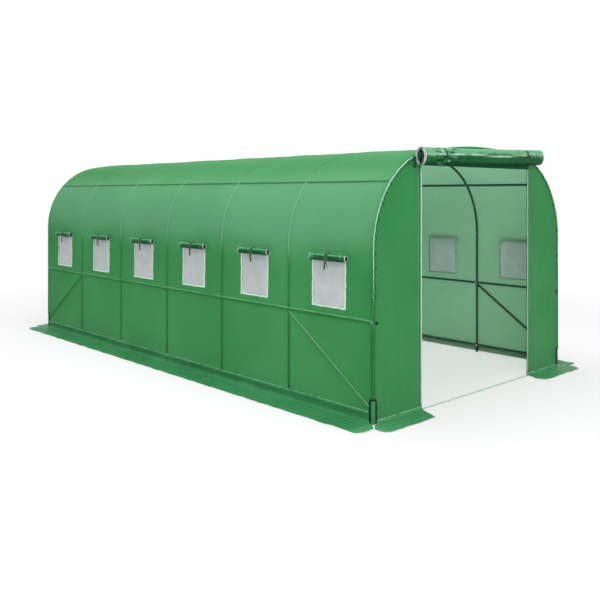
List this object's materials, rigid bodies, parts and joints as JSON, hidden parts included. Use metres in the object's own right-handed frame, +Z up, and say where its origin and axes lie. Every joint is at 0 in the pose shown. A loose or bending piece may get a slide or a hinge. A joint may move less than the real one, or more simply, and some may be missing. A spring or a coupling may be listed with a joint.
{
  "type": "polytunnel greenhouse",
  "caption": "Walk-in polytunnel greenhouse: tube hoops and rails under a reinforced cover, with mesh windows, rolled flaps, a rolled-up end door and a ground skirt.",
  "frame": {"origin": "on the ground, under the middle of the tunnel, midway between the side walls and the end walls", "axes": "+X to the right seen from the door end, +Y from the door end to the back end, +Z up"},
  "size_m": [3.52, 6.44, 2.295],
  "materials": {
    "frame_tube": "powder coated",
    "cover_sheet": "satin reinforced sheet",
    "rolled_sheet": "glossy folded sheet",
    "skirt_sheet": "satin sheet",
    "zip_tape": "woven tape",
    "hem_tape": "woven tape",
    "window_mesh": "fine insect mesh",
    "dark_binding": "piping"
  },
  "bodies": {
    "root": {"hoop_1": "frame_tube", "hoop_2": "frame_tube", "hoop_3": "frame_tube", "hoop_4": "frame_tube", "hoop_5": "frame_tube", "hoop_6": "frame_tube", "hoop_7": "frame_tube", "ridge_rail": "frame_tube", "upper_rail_left": "frame_tube", "upper_rail_right": "frame_tube", "waist_rail_left": "frame_tube", "waist_rail_right": "frame_tube", "base_rail_left": "frame_tube", "base_rail_right": "frame_tube", "corner_braces_left": "frame_tube", "corner_braces_right": "frame_tube", "front_door_posts": "frame_tube", "back_door_posts": "frame_tube", "wall_cover_left": "cover_sheet", "wall_cover_right": "cover_sheet", "haunch_cover_left": "cover_sheet", "haunch_cover_right": "cover_sheet", "crown_cover": "cover_sheet", "front_panel_left": "cover_sheet", "front_panel_right": "cover_sheet", "front_header": "cover_sheet", "back_panel_left": "cover_sheet", "back_panel_right": "cover_sheet", "back_header": "cover_sheet", "back_door": "cover_sheet", "front_door_roll": "rolled_sheet", "front_door_ties": "rolled_sheet", "door_zips": "zip_tape", "door_threshold": "zip_tape", "skirt_left": "skirt_sheet", "skirt_right": "skirt_sheet", "front_skirts": "skirt_sheet", "back_skirts": "skirt_sheet", "window_screens_left": "window_mesh", "window_screens_right": "window_mesh", "window_flaps_left": "rolled_sheet", "window_flaps_right": "rolled_sheet", "window_hems": "hem_tape", "window_ties": "rolled_sheet", "corner_bindings": "dark_binding"}
  },
  "joints": []
}
